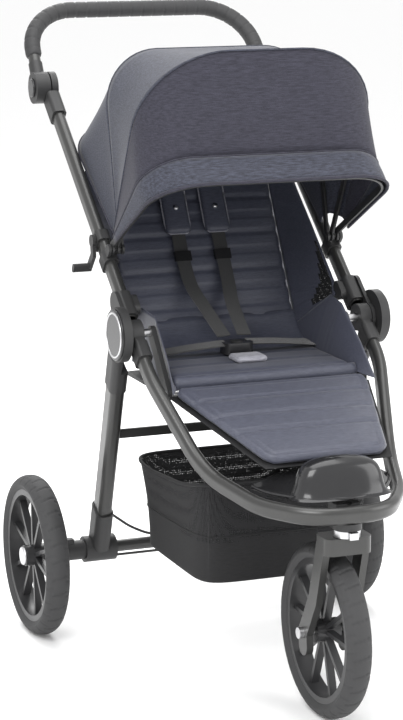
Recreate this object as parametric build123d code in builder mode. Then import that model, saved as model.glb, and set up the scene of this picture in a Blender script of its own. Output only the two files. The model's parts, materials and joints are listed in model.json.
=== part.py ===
"""Three-wheeled folding baby stroller, in millimetres.

+Z is up and the stroller faces -Y, so +X is its left side as the person pushing it sees it.
The origin is on the ground, under the middle of the whole outline.
"""

import os
from math import atan2, cos, degrees, hypot, radians, sin

from build123d import *

os.makedirs("parts", exist_ok=True)

# ---- overall sizes -------------------------------------------------------------------------
wheelbase = 594.0
track = 617.0  # between the middles of the rear tyres
wheel_diameter = 292.0
tyre_width = 44.0
handle_height = 1108.0  # middle of the grip
handle_reach = 306.0  # middle of the grip, behind the rear axle
grip_diameter = 30.0

# ---- frame ---------------------------------------------------------------------------------
frame_half_width = 212.0  # middle of the side tubes
tube_thick = 20.0
tube_deep = 30.0
tube_wall = 1.8
hub_forward = 268.0  # fold hinge, ahead of the rear axle
hub_height = 597.0
pivot_back = 190.0  # handle pivot, behind the rear axle
pivot_height = 975.0

# ---- hinge stack at each hub, from the frame tube outwards --------------------------------------
barrel_radius = 24.0
hub_pin_radius = 7.0
cheek_thick = 6.0
cheek_wide = 40.0  # narrower than the barrel, clear of the front sleeve when folded
casting_thick = 15.0
casting_radius = 47.0
gap = 1.0  # side gap between plates that turn on each other
running = 0.05  # radial clearance of a pin in its hole
slip = 0.1  # clearance of a tube in its sleeve

# ---- rear legs -------------------------------------------------------------------------------
leg_thick = 26.0
leg_deep = 40.0
axle_housing_middle = 187.5
axle_housing_length = 59.0
axle_housing_radius = 24.0
cross_tube_radius = 11.0
stub_radius = 18.0

# ---- wheels ----------------------------------------------------------------------------------
tyre_depth = 24.0  # from the rim to the tread
rim_depth = 12.0
rim_width = 32.0
hub_radius = 19.0
hub_length = 42.0
axle_radius = 6.0
spoke_pairs = 5
spoke_spread = 16.0  # degrees from a pair's middle to each spoke at the rim
spoke_wide = 7.0
spoke_deep = 13.0

# ---- fork ------------------------------------------------------------------------------------
trail = 79.0  # the front axle, behind the swivel axis
steerer_radius = 8.0
blade_inside = 29.0
blade_thick = 12.0

# ---- seat ------------------------------------------------------------------------------------
seat_half_width = 170.0
seat_height = 533.0
pad_thick = 26.0
board_thick = 6.0
seat_front = -333.0  # all "front" and "back" values are measured from the rear axle
seat_back = -147.0
calf_hinge_y, calf_hinge_z = -343.0, 506.0
calf_end_y, calf_end_z = -600.0, 430.0
calf_thick = 18.0
back_foot_y, back_foot_z = -120.0, 535.0
back_angle = 62.0
back_length = 420.0
back_half_width = 163.0
back_thick = 20.0
soft_gap = 0.5  # soft parts stay this far from their neighbours

# ---- canopy: one bow in each plane through the pivots, (angle, height, half width, corner) ----------
canopy_along = 165.41  # the canopy's pivots, from the hubs along the upper tubes
canopy_above = 30.75  # and above their middle lines
cloth = 2.0
hem = (33.0, 338.0, 198.0, 90.0)
bow_rear = (76.6, 345.0, 199.5, 100.0)
bow_middle = (116.7, 391.0, 216.0, 150.0)
bow_front = (138.3, 268.0, 221.0, 80.0)
visor_edge = (151.0, 289.0, 219.0, 85.0)
canopy_start = 22.0  # the cloth's lower edge, above the pivots

# ---- basket ------------------------------------------------------------------------------------
basket_half_width = 163.0
basket_front, basket_back = -455.0, -110.0
basket_rim, basket_floor = 352.0, 186.0

# The origin is midway between the front tyre and the grip, so every Y is moved by axle_y.
wheel_radius = wheel_diameter / 2
rim_radius = wheel_radius - tyre_depth
grip_radius = grip_diameter / 2
axle_y = (wheelbase + wheel_radius - handle_reach - grip_radius) / 2
hub_y, hub_z = axle_y - hub_forward, hub_height
pivot_y, pivot_z = axle_y + pivot_back, pivot_height
fork_y = axle_y - wheelbase - trail  # swivel axis
side_inside = frame_half_width - tube_thick / 2
side_outside = frame_half_width + tube_thick / 2


def write(part, label):
    """Label a finished piece and write it as a STEP file."""
    part.label = label
    export_step(part, f"parts/{label}.step")


def write_pair(part, label):
    """Write a piece made on the left side, +X, and its mirror image on the right side."""
    write(part, f"{label}_left")
    write(mirror(part, about=Plane.YZ), f"{label}_right")


def write_both(part, label):
    """Write a piece made on the left side and its mirror image as one group of solids."""
    write(Compound(children=[part, mirror(part, about=Plane.YZ)]), label)


def side(x):
    """The plane across X at x, where local x runs along Y and local y along Z."""
    return Plane.YZ.offset(x)


def along(start, direction, x_dir=(1, 0, 0)):
    """A plane at start whose normal is direction, for tubes and sleeves."""
    return Plane(origin=start, x_dir=x_dir, z_dir=direction)


def bar(x, thick, ends, wide):
    """A flat link between points (y, z), with round ends, from x to x + thick."""
    with BuildPart() as link:
        for (y0, z0), (y1, z1) in zip(ends, ends[1:]):
            with BuildSketch(side(x)):
                with Locations(((y0 + y1) / 2, (z0 + z1) / 2)):
                    SlotCenterToCenter(hypot(y1 - y0, z1 - z0), wide,
                                       rotation=degrees(atan2(z1 - z0, y1 - y0)))
            extrude(amount=thick)
    return link.part


def rod(x0, x1, y, z, radius):
    """A round bar across the stroller from x0 to x1."""
    with BuildPart() as bar_across:
        with BuildSketch(side(x0)):
            with Locations((y, z)):
                Circle(radius)
        extrude(amount=x1 - x0)
    return bar_across.part


def block(plane, wide, deep, corner, length):
    """A prism with rounded corners, from a plane along its normal."""
    with BuildPart() as prism:
        with BuildSketch(plane):
            RectangleRounded(wide, deep, corner)
        extrude(amount=length)
    return prism.part


tube_corner = tube_thick / 2 - 0.2


# ---- front tube: a U from hub to hub round the footrest -----------------------------------------
front_points = [
    (frame_half_width, hub_y, hub_z),
    (frame_half_width, axle_y - 345, 533),
    (168, axle_y - 478, 398),
    (124, fork_y + 67, 369),
    (64, fork_y - 21, 366),
    (0, fork_y - 21, 366),
]
front_radii = [200, 180, 180, 90]
front_direction = Vector(*front_points[1]) - Vector(*front_points[0])
front_direction = front_direction.normalized()
tube_setback = 32.0  # from the hub's axis to the end of the front tube

with BuildPart() as front_tube:
    with BuildLine():
        first = Vector(*front_points[0]) + front_direction * tube_setback
        centre_line = FilletPolyline(first, *front_points[1:], radius=front_radii)
    with BuildSketch(along(first, front_direction)):
        RectangleRounded(tube_thick, tube_deep, tube_corner)
        RectangleRounded(tube_thick - 2 * tube_wall, tube_deep - 2 * tube_wall,
                         tube_corner - tube_wall, mode=Mode.SUBTRACT)
    sweep(path=centre_line)
    mirror(about=Plane.YZ)
write(front_tube.part, "front_tube")

# ---- upper tubes and the handle pivot ------------------------------------------------------------
upper_length = hypot(pivot_y - hub_y, pivot_z - hub_z)
upper_direction = Vector(0, (pivot_y - hub_y) / upper_length, (pivot_z - hub_z) / upper_length)
upper_normal = Vector(0, -upper_direction.Z, upper_direction.Y)
upper_setback = 27.0
knuckle_radius = 29.0
hub_point = Vector(frame_half_width, hub_y, hub_z)


def on_upper(distance, above=0.0, x=frame_half_width):
    """A point beside the upper tube, at a distance from the hub's axis."""
    return Vector(x, hub_y, hub_z) + upper_direction * distance + upper_normal * above


with BuildPart() as upper_tube:
    with BuildSketch(along(on_upper(upper_setback), upper_direction)):
        RectangleRounded(tube_thick, tube_deep, tube_corner)
        RectangleRounded(tube_thick - 2 * tube_wall, tube_deep - 2 * tube_wall,
                         tube_corner - tube_wall, mode=Mode.SUBTRACT)
    extrude(amount=upper_length - upper_setback - knuckle_radius - 3)
write_both(upper_tube.part, "upper_tubes")

# ---- fold hinge: barrel on the front tube, cheek on the upper tube, casting on the leg ----------------
sleeve_wall = 3.0
cheek_x = side_outside + 1.5
casting_x = cheek_x + cheek_thick + gap
pin_end = casting_x + casting_thick
arm_x = 176.0  # seat arm, inside the frame
arm_thick = 8.0


def sleeve(start, direction, length):
    """A sleeve round a frame tube."""
    with BuildPart() as tube_sleeve:
        with BuildSketch(along(start, direction)):
            RectangleRounded(tube_thick + 2 * sleeve_wall, tube_deep + 2 * sleeve_wall, 8)
            RectangleRounded(tube_thick + 2 * slip, tube_deep + 2 * slip, tube_corner,
                             mode=Mode.SUBTRACT)
        extrude(amount=length)
    return tube_sleeve.part


with BuildPart() as hub_bracket:
    with BuildSketch(side(side_inside)):
        with Locations((hub_y, hub_z)):
            Circle(barrel_radius)
    extrude(amount=tube_thick)
    with BuildSketch(along(hub_point + front_direction * 8, front_direction)):
        RectangleRounded(tube_thick, tube_deep, 4)
    extrude(amount=tube_setback - 8 - slip)
    add(sleeve(hub_point + front_direction * (tube_setback - 4), front_direction, 34))
    with BuildSketch(side(side_inside - 30)):
        with Locations((hub_y, hub_z)):
            Circle(hub_pin_radius + running)
    extrude(amount=100, mode=Mode.SUBTRACT)
write_both(hub_bracket.part, "hub_brackets")

with BuildPart() as upper_hinge:
    add(sleeve(on_upper(upper_setback + 3), upper_direction, 52))
    add(bar(cheek_x, cheek_thick, [(hub_y, hub_z), tuple(on_upper(70))[1:]], cheek_wide))
    add(rod(cheek_x, cheek_x + cheek_thick, hub_y, hub_z, barrel_radius))
    add(bar(side_outside + slip, cheek_x + cheek_thick - side_outside - slip,
            [tuple(on_upper(48))[1:], tuple(on_upper(60))[1:]], 20))
    with BuildSketch(side(cheek_x - 5)):
        with Locations((hub_y, hub_z)):
            Circle(hub_pin_radius + running)
    extrude(amount=30, mode=Mode.SUBTRACT)
write_both(upper_hinge.part, "upper_hinges")

with BuildPart() as hub_pins:
    add(rod(arm_x, pin_end, hub_y, hub_z, hub_pin_radius))
    mirror(about=Plane.YZ)
write(hub_pins.part, "hub_pins")

# ---- rear legs: castings at the hubs, tubes, and feet round the axle -------------------------------
leg_top = Vector(casting_x + casting_thick / 2 - 1.5, hub_y, hub_z)
axle_point = Vector(axle_housing_middle, axle_y, wheel_radius)
leg_direction = (axle_point - leg_top).normalized()
leg_length = (axle_point - leg_top).length
leg_start, leg_stop = 78.0, 58.0  # from the hub's axis, and short of the axle
foot_top = 104.0


def on_leg(distance):
    """A point on the middle line of the left leg."""
    return leg_top + leg_direction * distance


def leg_block(distance, grow, length):
    """A stretch of the leg's outline, grown all round."""
    return block(along(on_leg(distance), leg_direction), leg_thick + 2 * grow, leg_deep + 2 * grow,
                 9 + grow, length)


brace_from_axle = 290.9
brace_point = on_leg(leg_length - brace_from_axle)
brace_end = brace_point.X - leg_thick / 2 + tube_wall / 2
with BuildPart() as leg_frame:
    add(leg_block(leg_start, 0, leg_length - leg_start - leg_stop))
    add(leg_block(leg_start, -tube_wall, leg_length - leg_start - leg_stop), mode=Mode.SUBTRACT)
    mirror(about=Plane.YZ)
    with BuildSketch(side(-brace_end)):
        with Locations((brace_point.Y, brace_point.Z)):
            RectangleRounded(8, 17, 3)
    extrude(amount=2 * brace_end)
write(leg_frame.part, "leg_frame")
with BuildPart() as leg_casting:
    with BuildSketch(side(casting_x)):
        with Locations((hub_y, hub_z)):
            Circle(casting_radius)
    extrude(amount=casting_thick)
    add(leg_block(30, 2.5, 88))
    with BuildSketch(side(0)):
        with Locations((hub_y, hub_z)):
            Circle(leg_start - 2)
    extrude(amount=casting_x, mode=Mode.SUBTRACT)
    with BuildSketch(side(casting_x + casting_thick)):
        with Locations((hub_y, hub_z)):
            Circle(casting_radius)
    extrude(amount=30, mode=Mode.SUBTRACT)
    add(leg_block(leg_start - slip, slip, 60), mode=Mode.SUBTRACT)
    with BuildSketch(side(casting_x - 5)):
        with Locations((hub_y, hub_z)):
            Circle(hub_pin_radius + running)
    extrude(amount=casting_thick + 5.0, mode=Mode.SUBTRACT)
write_both(leg_casting.part, "leg_castings")

with BuildPart() as hub_cap:
    with BuildSketch(side(casting_x + casting_thick)):
        with Locations((hub_y, hub_z)):
            Circle(casting_radius - 3)
    extrude(amount=4)
    fillet(hub_cap.faces().sort_by(Axis.X)[-1].edges(), 2.5)
write_both(hub_cap.part, "hub_caps")

housing_start = axle_housing_middle - axle_housing_length / 2
housing_end = axle_housing_middle + axle_housing_length / 2
with BuildPart() as leg_foot:
    with BuildSketch(side(housing_start)):
        with Locations((axle_y, wheel_radius)):
            Circle(axle_housing_radius)
    extrude(amount=axle_housing_length)
    add(leg_block(leg_length - foot_top, 3.5, foot_top - 12))
    add(leg_block(leg_length - foot_top - 1, slip, foot_top + 1 - leg_stop + slip),
        mode=Mode.SUBTRACT)
    with BuildSketch(side(housing_start - 5)):
        with Locations((axle_y, wheel_radius)):
            Circle(axle_radius + running)
    extrude(amount=axle_housing_length + 10, mode=Mode.SUBTRACT)
write_both(leg_foot.part, "leg_feet")

brake_rod_drop, brake_rod_radius = 17.0, 2.5
with BuildPart() as cross_tube:
    add(rod(-housing_start + slip, housing_start - slip, axle_y, wheel_radius, cross_tube_radius))
    add(rod(-housing_start - 1, housing_start + 1, axle_y, wheel_radius, axle_radius + running),
        mode=Mode.SUBTRACT)
    add(rod(-housing_start + slip, housing_start - slip, axle_y, wheel_radius - brake_rod_drop,
            brake_rod_radius))
write(cross_tube.part, "cross_tubes")


# ---- wheels ----------------------------------------------------------------------------------------
wheel_side = track / 2
stub_end = wheel_side - hub_length / 2 - 1.5


def tyre(x, y):
    """A tyre round an axle at height wheel_radius."""
    shoulder = 13.0
    with BuildPart() as ring:
        with BuildSketch(Plane(origin=(x, y, wheel_radius), x_dir=(1, 0, 0), z_dir=(0, -1, 0))):
            with BuildLine():
                half = tyre_width / 2
                inner, outer = rim_radius, wheel_radius
                Polyline((-half + 7, inner), (half - 7, inner), (half, inner + 9))
                Line((half, inner + 9), (half, outer - shoulder))
                ThreePointArc((half, outer - shoulder),
                              (half - shoulder + shoulder * cos(radians(45)),
                               outer - shoulder + shoulder * sin(radians(45))),
                              (half - shoulder, outer))
                Line((half - shoulder, outer), (-half + shoulder, outer))
                ThreePointArc((-half + shoulder, outer),
                              (-half + shoulder - shoulder * cos(radians(45)),
                               outer - shoulder + shoulder * sin(radians(45))),
                              (-half, outer - shoulder))
                Polyline((-half, outer - shoulder), (-half, inner + 9), (-half + 7, inner))
            make_face()
        revolve(axis=Axis((x, y, wheel_radius), (1, 0, 0)))
    return ring.part


def rim(x, y, first_pair):
    """A rim with spokes in V pairs, its hub and its bore."""
    rim_inside = rim_radius - rim_depth
    with BuildPart() as wheel:
        with BuildSketch(side(x - rim_width / 2)):
            with Locations((y, wheel_radius)):
                Circle(rim_radius)
                Circle(rim_inside, mode=Mode.SUBTRACT)
        extrude(amount=rim_width)
        with BuildSketch(side(x - hub_length / 2)):
            with Locations((y, wheel_radius)):
                Circle(hub_radius)
        extrude(amount=hub_length)
        with BuildSketch(side(x - spoke_deep / 2)):
            for pair in range(spoke_pairs):
                middle = first_pair + pair * 360 / spoke_pairs
                for turn in (-1, 1):
                    at_rim = radians(middle + turn * spoke_spread)
                    at_hub = radians(middle + turn * 12)
                    reach = rim_inside + 3
                    with BuildLine():
                        Line((y + 14 * cos(at_hub), wheel_radius + 14 * sin(at_hub)),
                             (y + reach * cos(at_rim), wheel_radius + reach * sin(at_rim)))
                    trace(line_width=spoke_wide)
        extrude(amount=spoke_deep)
        with BuildSketch(side(x - hub_length)):
            with Locations((y, wheel_radius)):
                Circle(axle_radius + running)
        extrude(amount=2 * hub_length, mode=Mode.SUBTRACT)
    return wheel.part


for name, x, y, first_pair in (
    ("left", wheel_side, axle_y, 32),
    ("right", -wheel_side, axle_y, 32),
    ("front", 0, axle_y - wheelbase, 20),
):
    write(tyre(x, y), f"tyre_{name}")
    write(rim(x, y, first_pair), f"rim_{name}")

cap_gap, cap_thick = 0.6, 5.0
with BuildPart() as rear_axle:
    add(rod(0, wheel_side + hub_length / 2 + cap_gap, axle_y, wheel_radius, axle_radius))
    with BuildSketch(side(wheel_side + hub_length / 2 + cap_gap)):
        with Locations((axle_y, wheel_radius)):
            Circle(hub_radius - 2)
    extrude(amount=cap_thick)
    fillet(rear_axle.faces().sort_by(Axis.X)[-1].edges(), 3)
    mirror(about=Plane.YZ)
write(rear_axle.part, "rear_axle")

button_y, button_wide = axle_y - 2, 16.0
button_travel = 3.0
with BuildPart() as axle_stub:
    add(rod(housing_end + slip, stub_end, axle_y, wheel_radius, stub_radius))
    with BuildSketch(Plane.XY.offset(wheel_radius + stub_radius - 8)):
        with Locations(((housing_end + stub_end) / 2, button_y)):
            RectangleRounded(30, button_wide + 0.6, 3)
    extrude(amount=20, mode=Mode.SUBTRACT)
    add(rod(housing_end - 1, stub_end + 1, axle_y, wheel_radius, axle_radius + running),
        mode=Mode.SUBTRACT)
write_both(axle_stub.part, "axle_stubs")

with BuildPart() as release_button:
    with BuildSketch(Plane.XY.offset(wheel_radius + stub_radius - 8 + button_travel + 0.5)):
        with Locations(((housing_end + stub_end) / 2, button_y)):
            RectangleRounded(29.4, button_wide, 3)
    extrude(amount=10)
    fillet(release_button.faces().sort_by(Axis.Z)[-1].edges(), 2)
write_pair(release_button.part, "release_button")

# ---- fork, on a swivel under the nose of the front tube --------------------------------------------------
front_axle_y = axle_y - wheelbase
crown_low, crown_high = wheel_diameter + 6, wheel_diameter + 34
lock_low, lock_high = crown_high + 1, crown_high + 12
flange_low = lock_high + 1
tube_low = front_points[-1][2] - tube_deep / 2
tray_low = tube_low + tube_deep + 2
steerer_top = tray_low - 4
blade_path = [(fork_y + 14, crown_high - 18), (front_axle_y - 38, 213), (front_axle_y, wheel_radius),
              (front_axle_y - 2, wheel_radius - 22)]
blade_wides = [30, 30, 32]

with BuildPart() as fork:
    for (start, end), wide in zip(zip(blade_path, blade_path[1:]), blade_wides):
        add(bar(blade_inside, blade_thick, [start, end], wide))
    mirror(about=Plane.YZ)
    with BuildSketch(Plane.XY.offset(crown_low)):
        with Locations((0, fork_y + 12)):
            RectangleRounded(2 * (blade_inside + blade_thick), 52, 14)
    extrude(amount=crown_high - crown_low)
    with BuildSketch(Plane.XY.offset(crown_high)):
        with Locations((0, fork_y)):
            Circle(steerer_radius)
    extrude(amount=steerer_top - crown_high)
    with BuildSketch(side(-60)):
        with Locations((front_axle_y, wheel_radius)):
            Circle(axle_radius + running)
    extrude(amount=120, mode=Mode.SUBTRACT)
write(fork.part, "fork")

with BuildPart() as front_axle:
    add(rod(-blade_inside - blade_thick - 3, blade_inside + blade_thick + 3, front_axle_y,
            wheel_radius, axle_radius))
    for x in (-blade_inside - blade_thick - 8, blade_inside + blade_thick + slip):
        add(rod(x, x + 8 - slip, front_axle_y, wheel_radius, 9.5))
write(front_axle.part, "front_axle")

with BuildPart() as swivel_lock:
    with BuildSketch(Plane.XY.offset(lock_low)):
        with Locations((0, fork_y)):
            Circle(22)
        with Locations((0, fork_y - 22)):
            RectangleRounded(16, 16, 3)
        with Locations((0, fork_y)):
            Circle(steerer_radius + running, mode=Mode.SUBTRACT)
    extrude(amount=lock_high - lock_low)
write(swivel_lock.part, "swivel_lock")

with BuildPart() as steerer_housing:
    with BuildSketch(Plane.XY.offset(flange_low)):
        with Locations((0, fork_y)):
            Circle(24)
    extrude(amount=tube_low - 0.3 - flange_low)
    with BuildSketch(Plane.XY.offset(flange_low)):
        with Locations((0, fork_y + 12)):
            RectangleRounded(44, 38, 5)
    extrude(amount=tube_low + 30 - flange_low)
    with BuildSketch(Plane.XY.offset(flange_low - 1)):
        with Locations((0, fork_y)):
            Circle(steerer_radius + running)
    extrude(amount=tube_low + 32 - flange_low, mode=Mode.SUBTRACT)
write(steerer_housing.part, "steerer_housing")

# ---- footrest: a tray between the tubes with a raised pad ---------------------------------------------
with BuildPart() as footrest:
    with BuildSketch(Plane.XY.offset(tray_low)):
        with BuildLine():
            Polyline((0, fork_y - 9), (52, fork_y - 9), (80, fork_y + 28), (112, fork_y + 73),
                     (121, fork_y + 107), (70, fork_y + 85), (0, fork_y + 77))
            mirror(about=Plane.YZ)
        make_face()
    extrude(amount=7)
    with BuildSketch(Plane.XY.offset(tray_low + 4)):
        with Locations((0, fork_y + 30)):
            RectangleRounded(142, 62, 22)
    extrude(amount=66, taper=12)
    fillet(footrest.faces().sort_by(Axis.Z)[-1].edges(), 12)
write(footrest.part, "footrest")

# ---- seat: board on arms from the hub pins, pad, harness fittings -----------------------------------------
board_top = seat_height - pad_thick - soft_gap
seat_middle = axle_y + (seat_front + seat_back) / 2
seat_depth = seat_back - seat_front
calf_y, calf_z = axle_y + calf_hinge_y, calf_hinge_z
calf_rod_radius = 5.0
arm_radius = 11.5
with BuildPart() as seat_board:
    with BuildSketch(Plane.XY.offset(board_top - board_thick)):
        with Locations((0, seat_middle)):
            RectangleRounded(2 * arm_x + 2 * arm_thick, seat_depth, 10)
    extrude(amount=board_thick)
    arm = bar(arm_x, arm_thick, [(hub_y, hub_z), (calf_y, calf_z)], 2 * arm_radius)
    add(arm)
    add(mirror(arm, about=Plane.YZ))
    seat_arm_span = 2 * (arm_x + arm_thick + 1)
    with BuildSketch(side(-seat_arm_span / 2)):
        with Locations((hub_y, hub_z)):
            Circle(hub_pin_radius + running)
        with Locations((calf_y, calf_z)):
            Circle(calf_rod_radius + running)
    extrude(amount=seat_arm_span, mode=Mode.SUBTRACT)
write(seat_board.part, "seat_board")

with BuildPart() as seat_pad:
    with BuildSketch(Plane.XY.offset(board_top + soft_gap)):
        with Locations((0, seat_middle)):
            RectangleRounded(2 * seat_half_width, seat_depth, 12)
    extrude(amount=pad_thick - soft_gap)
    fillet(seat_pad.faces().sort_by(Axis.Z)[-1].edges(), 10)
write(seat_pad.part, "seat_pad")

# ---- calf rest: board and pad that hang on a rod under the side tubes ---------------------------------------
with BuildPart() as calf_rod:
    add(rod(-arm_x - arm_thick, arm_x + arm_thick, calf_y, calf_z, calf_rod_radius))
write(calf_rod.part, "calf_rod")

calf_angle = atan2(calf_end_z - calf_hinge_z, calf_end_y - calf_hinge_y)
calf_length = hypot(calf_end_z - calf_hinge_z, calf_end_y - calf_hinge_y)
calf_plane = Plane(origin=(0, calf_y, calf_z), x_dir=(1, 0, 0),
                   z_dir=(0, sin(calf_angle), -cos(calf_angle)))
# local y of calf_plane runs back up the rest, so the rest itself lies at negative y
calf_top_half, calf_low_half = 184.0, 106.0


def calf_outline(start, stop, shrink):
    """The calf rest's outline, wide at the seat and narrow at the feet."""
    slope = (calf_top_half - calf_low_half) / calf_length
    wide = calf_top_half - slope * start - shrink
    narrow = calf_top_half - slope * stop - shrink
    return Polygon((wide, -start), (narrow, -stop), (-narrow, -stop), (-wide, -start), align=None)


with BuildPart() as calf_board:
    with BuildSketch(calf_plane.offset(-2)):
        calf_outline(17, calf_length - 6, 6)
    extrude(amount=4)
    for x in (-120, 80):
        add(bar(x, 40, [(calf_y, calf_z), (calf_y - 26, calf_z - 7.7)], 4))
        add(rod(x, x + 40, calf_y, calf_z, 8.5))
        add(rod(x - 1, x + 41, calf_y, calf_z, calf_rod_radius + 0.2), mode=Mode.SUBTRACT)
write(calf_board.part, "calf_board")

with BuildPart() as calf_pad:
    with BuildSketch(calf_plane.offset(2 + soft_gap)):
        calf_outline(17, calf_length, 0)
    extrude(amount=calf_thick)
    fillet(calf_pad.edges().filter_by(Axis.Z, reverse=True).group_by(Axis.Z)[-1], 5)
write(calf_pad.part, "calf_pad")

# ---- backrest: hinged on brackets from the upper tubes --------------------------------------------------------
lean = radians(back_angle)
back_up = Vector(0, cos(lean), sin(lean))
back_behind = Vector(0, sin(lean), -cos(lean))
back_foot = Vector(0, axle_y + back_foot_y, back_foot_z)
back_start = 40.0


def on_back(up, behind, x=0.0):
    """A point of the backrest: along it, and behind its front face."""
    return back_foot + back_up * up + back_behind * behind + Vector(x, 0, 0)


back_plane = Plane(origin=back_foot, x_dir=(1, 0, 0), z_dir=-back_behind)
# local y of back_plane runs up the backrest and its normal points forwards
back_hinge = on_back(20, 23)
hinge_rod_radius = 5.0
bracket_x, bracket_thick = 188.5, 6.0
back_board_low = back_thick + soft_gap

with BuildPart() as hinge_rod:
    add(rod(-bracket_x - bracket_thick, bracket_x + bracket_thick, back_hinge.Y, back_hinge.Z,
            hinge_rod_radius))
write(hinge_rod.part, "hinge_rod")

with BuildPart() as back_bracket:
    add(bar(bracket_x, bracket_thick, [tuple(on_upper(62))[1:], (back_hinge.Y, back_hinge.Z)], 18))
    add(bar(bracket_x, side_inside - sleeve_wall - slip - bracket_x,
            [tuple(on_upper(56))[1:], tuple(on_upper(72))[1:]], 22))
    add(rod(bracket_x - 1, bracket_x + bracket_thick + 1, back_hinge.Y, back_hinge.Z,
            hinge_rod_radius + running), mode=Mode.SUBTRACT)
write_both(back_bracket.part, "back_brackets")

with BuildPart() as back_board:
    with BuildSketch(back_plane.offset(-back_board_low - 5)):
        with Locations((0, (back_start + back_length) / 2)):
            RectangleRounded(2 * back_half_width - 16, back_length - back_start - 8, 20)
    extrude(amount=5)
    for x in (-130, 90):
        with BuildSketch(side(x)):
            with Locations((back_hinge.Y, back_hinge.Z)):
                Circle(9)
        extrude(amount=40)
        add(bar(x, 40, [(back_hinge.Y, back_hinge.Z), tuple(on_back(46, back_board_low + 2.5))[1:]],
                5))
        add(rod(x - 1, x + 41, back_hinge.Y, back_hinge.Z, hinge_rod_radius + 0.2),
            mode=Mode.SUBTRACT)
write(back_board.part, "back_board")

with BuildPart() as back_pad:
    with BuildSketch(back_plane.offset(-back_thick)):
        with Locations((0, (back_start + back_length) / 2)):
            RectangleRounded(2 * back_half_width, back_length - back_start, 24)
    extrude(amount=back_thick)
write(back_pad.part, "back_pad")

shoulder_x = 38.0
pad_wide, pad_long = 50.0, 150.0
with BuildPart() as shoulder_pads:
    for x in (-shoulder_x, shoulder_x):
        with BuildSketch(back_plane.offset(soft_gap)):
            with Locations((x, 285)):
                RectangleRounded(pad_wide, pad_long, 12)
        extrude(amount=15)
write(shoulder_pads.part, "shoulder_pads")

with BuildPart() as shoulder_straps:
    for x in (-shoulder_x, shoulder_x):
        with BuildSketch(back_plane.offset(soft_gap)):
            with Locations((x, 110)):
                Rectangle(30, 120)
        extrude(amount=3)
write(shoulder_straps.part, "shoulder_straps")

buckle_y = axle_y - 232
pad_top = seat_height + soft_gap
with BuildPart() as crotch_pad:
    with BuildSketch(Plane.XY.offset(pad_top)):
        with Locations((0, axle_y - 262)):
            RectangleRounded(62, 50, 10)
    extrude(amount=12)
write(crotch_pad.part, "crotch_pad")

with BuildPart() as buckle:
    with BuildSketch(Plane.XY.offset(pad_top + 4)):
        with Locations((0, buckle_y + 24)):
            RectangleRounded(54, 40, 12)
    extrude(amount=20)
    with BuildSketch(Plane.XY.offset(pad_top + 14)):
        with Locations((0, buckle_y + 24)):
            Circle(11)
    extrude(amount=12, mode=Mode.SUBTRACT)
write(buckle.part, "buckle")

buckle_travel = 3.0
with BuildPart() as buckle_button:
    with BuildSketch(Plane.XY.offset(pad_top + 14 + buckle_travel + 0.5)):
        with Locations((0, buckle_y + 24)):
            Circle(10.6)
    extrude(amount=8)
write(buckle_button.part, "buckle_button")

with BuildPart() as waist_straps:
    with BuildSketch(Plane.XY.offset(pad_top + 8)):
        with Locations((95, buckle_y + 24)):
            Rectangle(134, 30)
    extrude(amount=3)
    mirror(about=Plane.YZ)
write(waist_straps.part, "waist_straps")

# ---- handlebar: a loop on two pivots, with a long grip -----------------------------------------------------
handle_y, handle_z = axle_y + handle_reach, handle_height
arm_side = 228.0
bar_radius = 11.0
arm_length = hypot(handle_y - pivot_y, handle_z - pivot_z)
handle_up = Vector(0, (handle_y - pivot_y) / arm_length, (handle_z - pivot_z) / arm_length)
pivot_point = Vector(arm_side, pivot_y, pivot_z)
handle_plane = Plane(origin=(0, pivot_y, pivot_z), x_dir=(1, 0, 0),
                     z_dir=Vector(1, 0, 0).cross(handle_up))
bend_radius = 96.0
knuckle_thick = 12.0
knuckle_x = arm_side - 13.0 - 2.5 - knuckle_thick
handle_hub_x, handle_hub_thick = arm_side - 13.0, 26.0

arm_lean = 12.0  # how far each arm leans in, between its pivot and the grip
socket_depth, grip_start = 26.0, 70.0
arm_direction = (handle_up * arm_length + Vector(-arm_lean, 0, 0)).normalized()


def on_arm(up):
    """A point of the left arm in the handle's plane."""
    return arm_side - arm_lean * up / arm_length, up


with BuildPart() as handle_tube:
    with BuildLine(handle_plane):
        loop = FilletPolyline(on_arm(socket_depth), on_arm(arm_length), (0, arm_length),
                              radius=bend_radius)
    with BuildSketch(Plane(origin=loop @ 0, z_dir=loop % 0)):
        Circle(bar_radius)
    sweep(path=loop)
    mirror(about=Plane.YZ)
write(handle_tube.part, "handle_tube")

with BuildPart() as handle_grip:
    with BuildLine(handle_plane):
        grip_line = FilletPolyline(on_arm(grip_start), on_arm(arm_length), (0, arm_length),
                                   radius=bend_radius)
    with BuildSketch(Plane(origin=grip_line @ 0, z_dir=grip_line % 0)):
        Circle(grip_radius)
        Circle(bar_radius + slip, mode=Mode.SUBTRACT)
    sweep(path=grip_line)
    mirror(about=Plane.YZ)
write(handle_grip.part, "handle_grip")

button_radius = 17.0
with BuildPart() as handle_hub:
    with BuildSketch(side(handle_hub_x)):
        with Locations((pivot_y, pivot_z)):
            Circle(knuckle_radius)
    extrude(amount=handle_hub_thick)
    with BuildSketch(Plane(origin=pivot_point, z_dir=arm_direction)):
        Circle(bar_radius + 1.8)
    extrude(amount=grip_start - 16)
    with BuildSketch(Plane(origin=pivot_point + arm_direction * (socket_depth - 0.5),
                           z_dir=arm_direction)):
        Circle(bar_radius + slip)
    extrude(amount=grip_start, mode=Mode.SUBTRACT)
    with BuildSketch(side(handle_hub_x + handle_hub_thick - 8)):
        with Locations((pivot_y, pivot_z)):
            Circle(button_radius + 0.3)
    extrude(amount=20, mode=Mode.SUBTRACT)
    with BuildSketch(side(handle_hub_x - 1)):
        with Locations((pivot_y, pivot_z)):
            Circle(hub_pin_radius + running)
    extrude(amount=60, mode=Mode.SUBTRACT)
write_both(handle_hub.part, "handle_hubs")

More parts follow.
